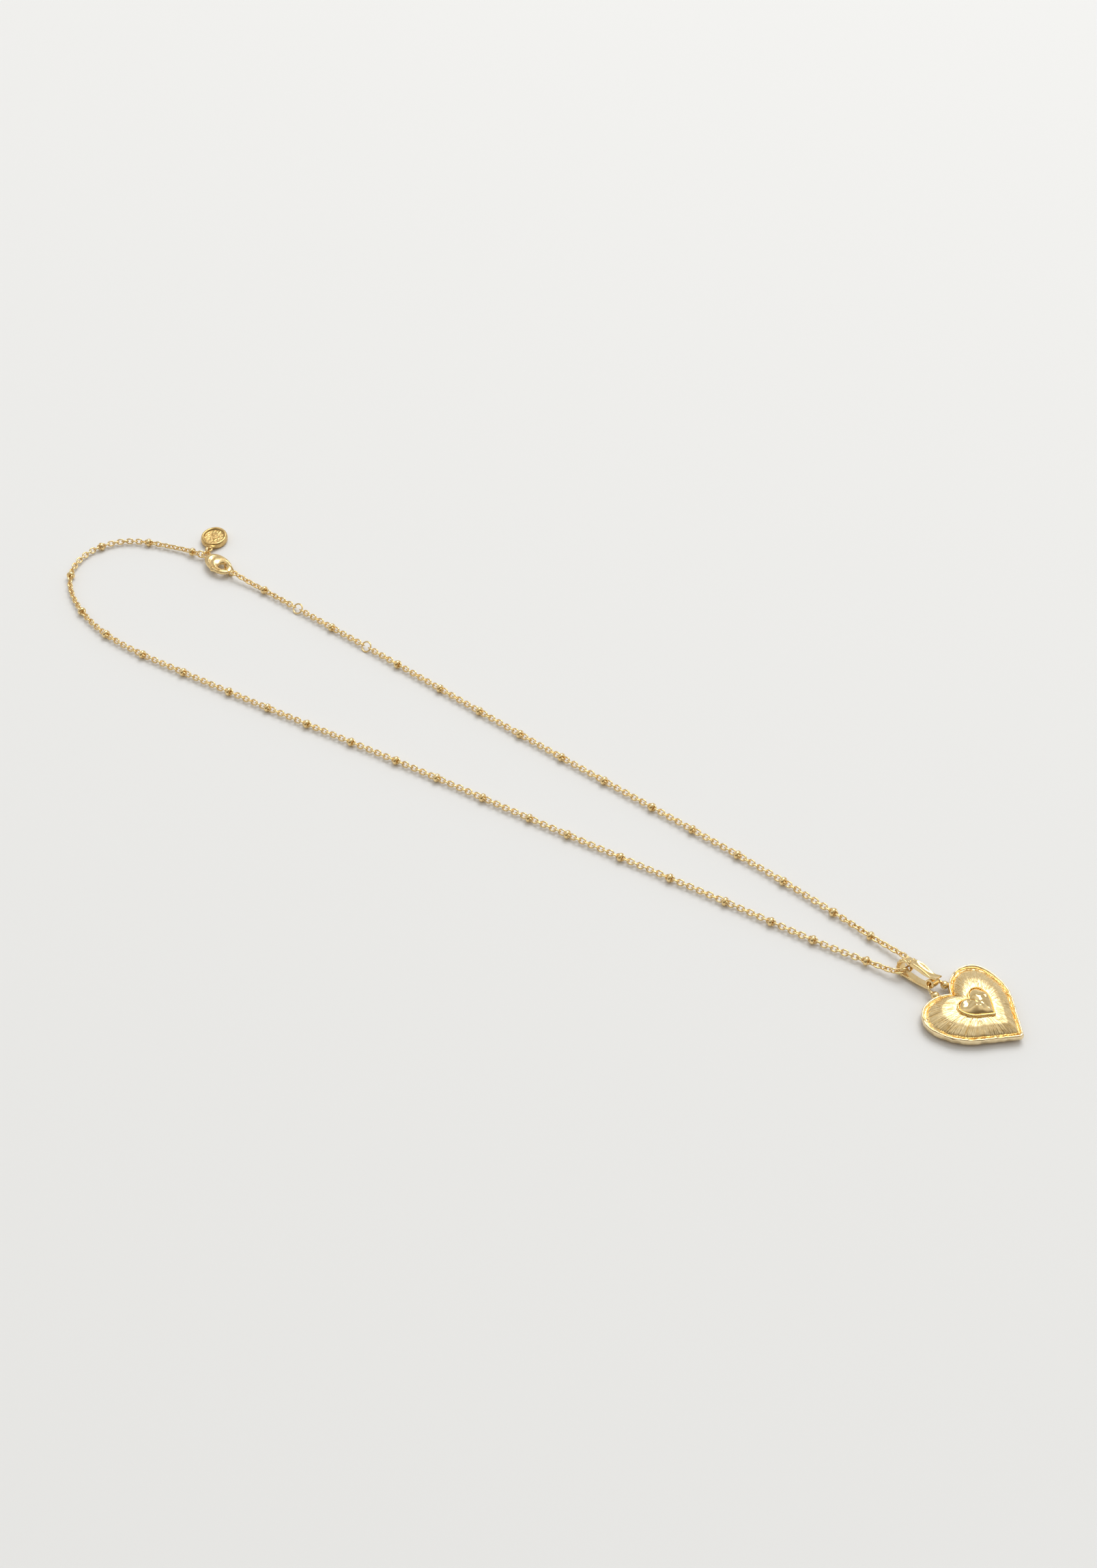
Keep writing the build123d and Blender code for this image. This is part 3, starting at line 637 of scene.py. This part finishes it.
def dents(x, y, cell, wrap):
    """Shallow bowls that meet in ridges, as hammer marks; x repeats every wrap cells."""
    u, v = x / cell, y / cell
    i, j = np.floor(u), np.floor(v)
    nearest = np.full(np.shape(u), np.inf)
    weight = np.zeros(np.shape(u))
    for di in (-1, 0, 1):
        for dj in (-1, 0, 1):
            ci, cj = i + di, j + dj
            wi = np.mod(ci, wrap)
            px = ci + DENT_MARGIN + (1 - 2 * DENT_MARGIN) * hashed(DENT_SEED, wi, cj)
            py = cj + DENT_MARGIN + (1 - 2 * DENT_MARGIN) * hashed(DENT_SEED + 1, wi, cj)
            gap = (u - px) ** 2 + (v - py) ** 2
            closer = gap < nearest
            weight = np.where(closer, DENT_LEAST + hashed(DENT_SEED + 2, wi, cj), weight)
            nearest = np.where(closer, gap, nearest)
    return weight * (np.minimum(nearest, 1.0) - DENT_LEVEL)


def band(name, corners, steps, columns, scale, rise, mark, cell, wrap):
    """A band round the heart with a smooth section through (inset, height) corners, marked with dents."""
    loop = np.vstack([corners, corners[:1]])
    section = smooth_table(loop, np.linspace(0, 1, steps, endpoint=False))
    grid = np.array([at_height(outline(scale, inset, columns, rise), z) for inset, z in section])
    run = np.arange(columns) / columns * wrap * cell
    girth = np.r_[0, np.cumsum(np.linalg.norm(np.diff(section, axis=0), axis=1))]
    marks = dents(*np.meshgrid(run, girth), cell, wrap)
    grid = grid + grid_normals(grid, wrap_rows=True) * (mark * marks)[:, :, None]
    points = grid.reshape(-1, 3)
    return joined(name, [(points, outward(points, ring_faces(steps, columns, wrap_rows=True)))])


RIM_CORNERS = [
    (0.5, 0.82),
    (0.22, 0.82),
    (0.04, 1.02),
    (-0.03, 1.35),
    (-0.05, 1.75),
    (-0.02, 2.12),
    (0.1, 2.4),
    (0.3, 2.48),
    (0.52, 2.36),
    (0.68, 2.08),
    (0.74, 1.7),
    (0.74, 1.3),
]
rim = band("heart_band", RIM_CORNERS, 44, 900, scale=1.0, rise=0.0, mark=0.27, cell=1.9, wrap=37)
dress(rim, "hammered_gold", "pendant", "heart_rim")

BEZEL_CORNERS = [(0.02, 3.6), (0.0, 4.05), (0.08, 4.3), (0.24, 4.34), (0.36, 4.15), (0.4, 3.6)]
bezel = band(
    "small_heart_edge",
    BEZEL_CORNERS,
    20,
    420,
    scale=BEZEL_SCALE,
    rise=INNER_RISE,
    mark=0.05,
    cell=0.8,
    wrap=33,
)
dress(bezel, "smooth_gold", "pendant", "inner_bezel")

# ---- the small heart: smooth lumps, with a crease down from its notch ----
INNER_COLUMNS = 420
INNER_ROWS = 40
INNER_LAST = 0.985
INNER_FOOT = 3.7
INNER_BASE = 4.0
INNER_HIGH = 1.35
CROWN_REACH = 1.15
CROWN_POWER = 0.6
CREASE = 0.7
CREASE_HALF = 0.6
CREASE_END = -0.4
CREASE_LONG = 2.4
INNER_LEAN = 0.05
INNER_LUMPS = ((3, 0.55, 1.9), (8, 0.09, 0.75))
rows = [at_height(outline(INNER_SCALE, 0.0, INNER_COLUMNS, INNER_RISE), INNER_FOOT)]
for step in np.linspace(0.0, INNER_LAST, INNER_ROWS):
    flat = outline(INNER_SCALE * (1 - step), 0.0, INNER_COLUMNS, INNER_RISE)
    x, y = flat[:, 0], flat[:, 1] - INNER_RISE
    crown = math.sin(0.5 * math.pi * min(1.0, step * CROWN_REACH)) ** CROWN_POWER
    fade = np.clip((y - CREASE_END) / CREASE_LONG, 0, 1)
    crease = CREASE * np.exp(-((x / CREASE_HALF) ** 2)) * fade
    high = INNER_HIGH + flat_noise(x, y, INNER_LUMPS) + INNER_LEAN * x - crease
    rows.append(np.c_[flat, INNER_BASE + crown * high])
small_heart = joined("small_heart", [shell(rows)])
dress(small_heart, "polished_gold", "pendant", "inner_heart")

# ---- the bail's strap, with the ears of the hinge ----
BAIL_AXIS = np.array([0.05, 12.55, 2.45])
BAIL_LEAN = math.radians(19.0)
BAIL_YAW = math.radians(-5.5)
LEAN_COS, LEAN_SIN = math.cos(BAIL_LEAN), math.sin(BAIL_LEAN)
YAW_COS, YAW_SIN = math.cos(BAIL_YAW), math.sin(BAIL_YAW)
BAIL_AXES = np.array(
    [
        [LEAN_COS * YAW_COS, YAW_SIN, -LEAN_SIN * YAW_COS],
        [-LEAN_COS * YAW_SIN, YAW_COS, LEAN_SIN * YAW_SIN],
        [LEAN_SIN, 0.0, LEAN_COS],
    ]
)
STRAP_CORNER_R = 0.16
STRAP_CORNER_SHARE = 0.4
STRAP_FLAT = 0.12
DISH_STEPS = 10


def bail_point(across, along, up):
    """A point given in the bail's own frame, as a point of the part's frame in millimetres."""
    return BAIL_AXIS + np.array([across, along, up]) @ BAIL_AXES


def corner_points(x, y, radius, start):
    """Points round a quarter circle of a section, from a start angle in degrees."""
    turns = [math.radians(start + turn) for turn in (0, 30, 60, 90)]
    return [(x + radius * math.cos(turn), y + radius * math.sin(turn)) for turn in turns]


def section_points(half, thick, dish):
    """A rounded strap section with a hollowed top: (across, up) from its middle line."""
    r = min(STRAP_CORNER_R, thick * STRAP_CORNER_SHARE)
    side, top = half - r, thick / 2 - r
    points = corner_points(side, -top, r, -90) + corner_points(side, top, r, 0)
    inner = side - STRAP_FLAT
    for x in inner * (1 - 2 * np.arange(DISH_STEPS + 1) / DISH_STEPS):
        points.append((x, thick / 2 - dish * max(0.0, 1 - (x / inner) ** 2) ** 0.5))
    return points + corner_points(-side, top, r, 90) + corner_points(-side, -top, r, 180)


def strap(table, count):
    """A strap swept along rows of (along, up, half width, thickness, dish) in the bail's side view."""
    path = smooth_table(table, np.linspace(0, 1, count))
    run = np.gradient(path[:, :2], axis=0)
    run /= np.linalg.norm(run, axis=1, keepdims=True)
    rows = []
    for (along, up, half, thick, dish), (da, du) in zip(path, run):
        section = section_points(half, thick, max(dish, 0.0))
        rows.append([bail_point(x, along - du * high, up + da * high) for x, high in section])
    return shell(rows)


def knuckle(start, end):
    """A round-edged barrel about the gate's hinge from one place across the bail to another."""
    edge = KNUCKLE_ROUND
    bevel = ROUND_MIDDLE * edge
    turns = steps_round(KNUCKLE_SIDES)
    rows = []
    for across, radius in (
        (start, KNUCKLE_R - edge),
        (start + bevel, KNUCKLE_R - bevel),
        (start + edge, KNUCKLE_R),
        (end - edge, KNUCKLE_R),
        (end - bevel, KNUCKLE_R - bevel),
        (end, KNUCKLE_R - edge),
    ):
        along = GATE_HINGE[0] + radius * np.cos(turns)
        up = GATE_HINGE[1] + radius * np.sin(turns)
        rows.append([bail_point(across, a, b) for a, b in zip(along, up)])
    return shell(rows)


# (along, up, half width, thickness, dish) from the barrel round the top loop to the hinge
STRAP_TABLE = [
    (-0.5, -1.02, 1.14, 0.34, 0.0),
    (0.1, -1.2, 1.16, 0.5, 0.0),
    (0.9, -1.32, 1.16, 0.6, 0.0),
    (1.9, -1.46, 1.16, 0.56, 0.0),
    (3.2, -1.62, 1.18, 0.5, 0.0),
    (4.8, -1.68, 1.24, 0.54, 0.0),
    (6.3, -1.68, 1.27, 0.58, 0.0),
    (7.45, -1.56, 1.3, 0.66, 0.0),
    (8.16, -0.95, 1.3, 0.7, 0.0),
    (8.42, 0.0, 1.3, 0.7, 0.0),
    (8.16, 0.93, 1.3, 0.7, 0.0),
    (7.5, 1.54, 1.28, 0.64, 0.0),
    (6.75, 1.62, 1.28, 0.5, 0.0),
]
GATE_HINGE = (6.35, 1.65)
KNUCKLE_R = 0.5
KNUCKLE_ROUND = 0.14
ROUND_MIDDLE = 0.3
KNUCKLE_SIDES = 28
KNUCKLE_GAP = 0.06
KNUCKLES = (-1.32, -0.68, 0.68, 1.32)
STRAP_ROWS = 90
GATE_ROWS = 80
ears = [knuckle(*KNUCKLES[:2]), knuckle(*KNUCKLES[2:])]
bail_strap = joined("bail_strap", [strap(STRAP_TABLE, STRAP_ROWS), *ears])
dress(bail_strap, "smooth_gold", "bail", "bail_frame")

# ---- the bail's gate, from its pull lip to the hinge ----
GATE_TABLE = [
    (-1.12, 2.06, 1.22, 0.36, 0.12),
    (-0.6, 1.84, 1.2, 0.44, 0.16),
    (0.0, 1.62, 1.16, 0.5, 0.12),
    (0.6, 1.5, 1.12, 0.56, 0.1),
    (1.3, 1.5, 1.14, 0.7, 0.24),
    (2.2, 1.6, 1.2, 0.9, 0.44),
    (3.2, 1.75, 1.26, 1.02, 0.55),
    (4.3, 1.84, 1.28, 1.08, 0.52),
    (5.1, 1.8, 1.26, 1.06, 0.26),
    (5.6, 1.74, 1.22, 0.98, 0.02),
    (5.95, 1.7, 1.16, 0.86, 0.0),
]
middle_knuckle = knuckle(KNUCKLES[1] + KNUCKLE_GAP, KNUCKLES[2] - KNUCKLE_GAP)
bail_cover = joined("bail_cover", [strap(GATE_TABLE, GATE_ROWS), middle_knuckle])
dress(bail_cover, "smooth_gold", "gate", "bail_gate")

# ---- grains over the bail's round end, row by row about its bend, left out where the table is ----
BEND = (6.7, 0.0)
BEND_R = 1.96
GRAIN_R = 0.32
GRAIN_SIDES = 14
GRAIN_LEVELS = 9
GRAIN_POLE = 0.96
GRAIN_STEP = 0.54
GRAIN_ROWS = 10
GRAIN_ACROSS = 5
GRAIN_START = -84
GRAIN_TURN = 15.5
GRAIN_SEED = 4
GRAIN_LEAST = 0.92
GRAIN_SPREAD = 0.16


def ball(middle, radius):
    """A small ball, as the points and faces of a closed shell."""
    around = circle(GRAIN_SIDES)
    rows = []
    for lift in 0.5 * math.pi * np.linspace(-GRAIN_POLE, GRAIN_POLE, GRAIN_LEVELS):
        rows.append(middle + radius * (math.cos(lift) * around + (0, 0, math.sin(lift))))
    return shell(rows)


grains = []
for row in range(GRAIN_ROWS):
    turn = math.radians(GRAIN_START + GRAIN_TURN * row)
    count = GRAIN_ACROSS - row % 2
    for column in range(count):
        across = (column - (count - 1) / 2) * GRAIN_STEP
        along = BEND[0] + BEND_R * math.cos(turn)
        middle = bail_point(across, along, BEND[1] + BEND_R * math.sin(turn))
        radius = GRAIN_R * (GRAIN_LEAST + GRAIN_SPREAD * hashed(GRAIN_SEED, row, column))
        if middle[2] > radius:
            grains.append(ball(middle, radius))
bail_grains = joined("bail_grains", grains)
dress(bail_grains, "granulated_gold", "bail", "bail_granules")

# ---- the clasp: a claw round an eye, closed by its lever ----
TAIL = np.array([4.6, 242.7, 0.0])
CLAW_TURN = math.radians(-98.0)
CLAW_Z = 1.75
EYE_MIDDLE = np.array([6.95, 0.1])
EYE_R = 1.15
CLAW_MIDDLE = np.array([5.45, 0.0])
CLAW_HALF = np.array([4.8, 2.75])
PIVOT = np.array([2.75, -1.0])
LEVER_TIP_R = 5.28
LEVER_ROOT_R = 3.33
SEAM_GAP = 0.09
NOSE_SIDE = (-85, 8)
ROOT_SIDE = (196, 290)
SEAM_STEPS = 400
# the claw gets higher towards the tail, and a groove runs along its top from its root onto the lever
CLAW_HIGH = 0.72
CLAW_SWELL = 0.16
CLAW_TOP_POWER = 0.8
CLAW_SIDE_POWER = 0.85
GROOVE = 0.42
GROOVE_SHARE = 0.54
GROOVE_HALF = 0.09
GROOVE_TURNS = np.radians([155.0, 180.0, 300.0, 325.0])
LEVER_THICK = 0.94
NUB = 0.2
NUB_HALF = 0.1
NUB_TURN = math.radians(252.0)
CLAW_ROWS = 90
TORUS_COLUMNS = 44
TORUS_SIDES = 14
CLAW_SPIN = steps_round(72)
CLAW_SIDE, CLAW_TOP = np.cos(CLAW_SPIN), np.sin(CLAW_SPIN)
CLAW_SHARE = 0.5 + 0.5 * np.sign(CLAW_SIDE) * np.abs(CLAW_SIDE) ** CLAW_SIDE_POWER


def clasp_point(turn, along, across, up):
    """A point of the clasp's frame turned about the tail's middle, in millimetres."""
    c, s = math.cos(turn), math.sin(turn)
    x = TAIL[0] + along * c - across * s
    y = TAIL[1] + along * s + across * c
    return np.stack(np.broadcast_arrays(x, y, TAIL[2] + up), axis=-1)


def claw_plan(turn, share):
    """A place on the claw, seen from above: share runs from the eye's edge to the outer edge."""
    way = np.array([np.cos(turn), np.sin(turn)])
    start = (EYE_MIDDLE - CLAW_MIDDLE)[:, None] / CLAW_HALF[:, None]
    step = way.reshape(2, -1) / CLAW_HALF[:, None]
    a, b, c = (step**2).sum(0), (start * step).sum(0), (start**2).sum(0) - 1
    edge = ((-b + np.sqrt(b * b - a * c)) / a).reshape(np.shape(turn))
    reach = EYE_R + (edge - EYE_R) * share
    return EYE_MIDDLE[0] + reach * way[0], EYE_MIDDLE[1] + reach * way[1]


def seam_turn(radius, first, last):
    """Where round the eye a curve about the lever's pivot crosses the claw, for each share of it."""
    turns = np.radians(np.linspace(first, last, SEAM_STEPS))
    found = []
    for share in CLAW_SHARE:
        u, v = claw_plan(turns, np.full(SEAM_STEPS, share))
        found.append(turns[np.argmax(np.hypot(u - PIVOT[0], v - PIVOT[1]) >= radius)])
    return np.array(found)


def claw_piece(start, end, thick, nub):
    """A rounded piece of the claw between two sets of angles round the eye."""
    rows = []
    for step in np.linspace(0, 1, CLAW_ROWS):
        turn = start + (end - start) * step
        wide = 1 + nub * np.exp(-(((turn - NUB_TURN) / NUB_HALF) ** 2)) * CLAW_SHARE
        u, v = claw_plan(turn, CLAW_SHARE * wide)
        high = thick * (CLAW_HIGH - CLAW_SWELL * np.cos(turn))
        high = high * np.sign(CLAW_TOP) * np.abs(CLAW_TOP) ** CLAW_TOP_POWER
        groove = GROOVE * np.interp(turn, GROOVE_TURNS, (0, 1, 1, 0))
        groove = groove * np.exp(-(((CLAW_SHARE - GROOVE_SHARE) / GROOVE_HALF) ** 2)) * (CLAW_TOP > 0)
        rows.append(clasp_point(CLAW_TURN, u, v, CLAW_Z + high - groove))
    return shell(rows)


def torus(middle, radius, tube):
    """A round ring of round wire, flat on XY, in millimetres."""
    out = circle(TORUS_COLUMNS)
    points = tube_loop(middle + out * radius, out, tube, TORUS_SIDES).reshape(-1, 3)
    return points, outward(points, ring_faces(TORUS_COLUMNS, TORUS_SIDES, wrap_rows=True))


claw_start = seam_turn(LEVER_TIP_R + SEAM_GAP, *NOSE_SIDE)
claw_end = seam_turn(LEVER_ROOT_R - SEAM_GAP, *ROOT_SIDE)
claw = claw_piece(claw_start, claw_end, 1.0, 0.0)
lever_start = seam_turn(LEVER_ROOT_R, *ROOT_SIDE)
lever_end = seam_turn(LEVER_TIP_R, *NOSE_SIDE) + 2 * np.pi
lever = claw_piece(lever_start, lever_end, LEVER_THICK, NUB)

TAIL_LOOP_R = 1.06
TAIL_TUBE = 0.3
tail_loop = torus(TAIL + (0, 0, CLAW_Z), TAIL_LOOP_R, TAIL_TUBE)
clasp_body = joined("clasp_body", [claw, tail_loop])
dress(clasp_body, "clasp_gold", "chain", "clasp_claw")
clasp_catch = joined("clasp_catch", [lever])
dress(clasp_catch, "clasp_gold", "lever", "clasp_lever")

# ---- the round tag: a thick rim round a grained face, a tapered neck and an eye ----
TAG_TURN = math.radians(29.8)
TAG_MIDDLE = 8.0
TAG_HALF = (3.9, 3.55)
TAG_COLUMNS = 160
TAG_ROWS = 70
NECK_ROWS = 24
# above this height the tag is a little uneven
TAG_UPPER = 1.0
TAG_SWELL = ((23, 0.035, 1.7),)
# the grained face lies inside this share of the tag
FACE_SHARE = 0.76
FACE_FADE = 0.06
FACE_PITS = ((21, 0.05, 0.5), (22, 0.05, 0.22))
# (share of the tag's half widths, height)
TAG_TABLE = [
    (0.8, 0.0),
    (0.92, 0.08),
    (0.98, 0.45),
    (1.0, 0.95),
    (0.985, 1.5),
    (0.93, 1.9),
    (0.85, 2.0),
    (0.78, 1.88),
    (0.74, 1.62),
    (0.68, 1.5),
    (0.5, 1.47),
    (0.25, 1.47),
    (0.02, 1.47),
]
around = steps_round(TAG_COLUMNS)
rows = []
for scale, z in smooth_table(TAG_TABLE, np.linspace(0, 1, TAG_ROWS)):
    u, v = scale * TAG_HALF[0] * np.cos(around), scale * TAG_HALF[1] * np.sin(around)
    pits = flat_noise(u, v, FACE_PITS) * clamp((FACE_SHARE - scale) / FACE_FADE)
    uneven = (flat_noise(u, v, TAG_SWELL) + pits) * (z > TAG_UPPER)
    rows.append(clasp_point(TAG_TURN, TAG_MIDDLE + u, v, z + uneven))
disc = shell(rows)

# (along, half width, height of its middle, half thickness)
NECK_TABLE = [
    (2.95, 0.75, 1.5, 0.3),
    (3.4, 0.86, 1.42, 0.36),
    (3.9, 1.15, 1.2, 0.48),
    (4.5, 1.75, 1.0, 0.7),
    (5.1, 2.3, 0.95, 0.75),
]
around = around[::4]
rows = []
for along, half, z, high in smooth_table(NECK_TABLE, np.linspace(0, 1, NECK_ROWS)):
    rows.append(clasp_point(TAG_TURN, along, half * np.cos(around), z + high * np.sin(around)))
neck = shell(rows)

TAG_EYE_ALONG = 2.62
TAG_EYE_Z = 1.5
TAG_EYE_R = 0.79
TAG_EYE_TUBE = 0.26
eye = torus(clasp_point(TAG_TURN, TAG_EYE_ALONG, 0.0, TAG_EYE_Z), TAG_EYE_R, TAG_EYE_TUBE)
tag = joined("round_tag", [disc, neck, eye])
dress(tag, "charm_gold", "charm", "charm_disc")

# ---- floor ----
FLOOR_HALF = 40.0
corners = [(x * FLOOR_HALF, y * FLOOR_HALF, 0.0) for x, y in ((-1, -1), (1, -1), (1, 1), (-1, 1))]
floor = new_object("floor", corners, [(0, 1, 2, 3)])
paper = bpy.data.materials.new("paper")
paper.use_nodes = True
paper_shader = paper.node_tree.nodes["Principled BSDF"]
paper_shader.inputs["Base Color"].default_value = (0.835, 0.84, 0.84, 1)
paper_shader.inputs["Roughness"].default_value = 0.95
floor.data.materials.append(paper)
floor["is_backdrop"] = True

# ---- light: one soft lamp, and a studio that is an arch of light and dark ----
KEY_PLACE = Vector((1.24, 0.5, 2.1))
KEY_AIM = Vector((0.0, 0.1, 0.0))
key_data = bpy.data.lights.new("key", "AREA")
key_data.size = 1.6
key_data.energy = 31.0
key = bpy.data.objects.new("key", key_data)
key.location = KEY_PLACE
key.rotation_euler = (KEY_AIM - KEY_PLACE).to_track_quat("-Z", "Y").to_euler()
bpy.context.scene.collection.objects.link(key)
bpy.context.scene.view_settings.view_transform = "Standard"

# the way that the camera looks, seen from above
HEADING = math.atan2(0.63, 0.78)
# brightness of the studio, from the horizon ahead of the camera, over the top, to the one behind it
STOPS = (
    (0.0, 1.0),
    (0.13, 0.95),
    (0.25, 0.8),
    (0.37, 0.98),
    (0.5, 1.4),
    (0.6, 1.15),
    (0.7, 0.75),
    (0.83, 0.32),
)
# red, green and blue of the dark tones, which are warm, and what full brightness adds to each
TINT = ((1.0, 0.0), (0.8, 0.2), (0.54, 0.44))
world = bpy.data.worlds.new("studio")
bpy.context.scene.world = world
world.use_nodes = True
sky = world.node_tree.nodes["Background"]
sky.inputs["Strength"].default_value = 0.65
world_nodes = world.node_tree.nodes
world_links = world.node_tree.links
direction = world_nodes.new("ShaderNodeTexCoord")
turned = world_nodes.new("ShaderNodeVectorRotate")
turned.rotation_type = "Z_AXIS"
turned.inputs["Angle"].default_value = -HEADING
split = world_nodes.new("ShaderNodeSeparateXYZ")
arch = world_nodes.new("ShaderNodeMath")
arch.operation = "ARCTAN2"
share_of_arch = world_nodes.new("ShaderNodeMath")
share_of_arch.operation = "DIVIDE"
share_of_arch.inputs[1].default_value = math.pi
tones = world_nodes.new("ShaderNodeValToRGB")
tones.color_ramp.elements[0].position = STOPS[0][0]
tones.color_ramp.elements[1].position = STOPS[-1][0]
for place, _ in STOPS[1:-1]:
    tones.color_ramp.elements.new(place)
for element, (place, tone) in zip(tones.color_ramp.elements, STOPS):
    element.color = (*(tone * (dark + gain * min(1.0, tone)) for dark, gain in TINT), 1)
world_links.new(direction.outputs["Generated"], turned.inputs["Vector"])
world_links.new(turned.outputs["Vector"], split.inputs[0])
world_links.new(split.outputs["Z"], arch.inputs[0])
world_links.new(split.outputs["X"], arch.inputs[1])
world_links.new(arch.outputs[0], share_of_arch.inputs[0])
world_links.new(share_of_arch.outputs[0], tones.inputs["Fac"])
world_links.new(tones.outputs["Color"], sky.inputs["Color"])

low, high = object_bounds()
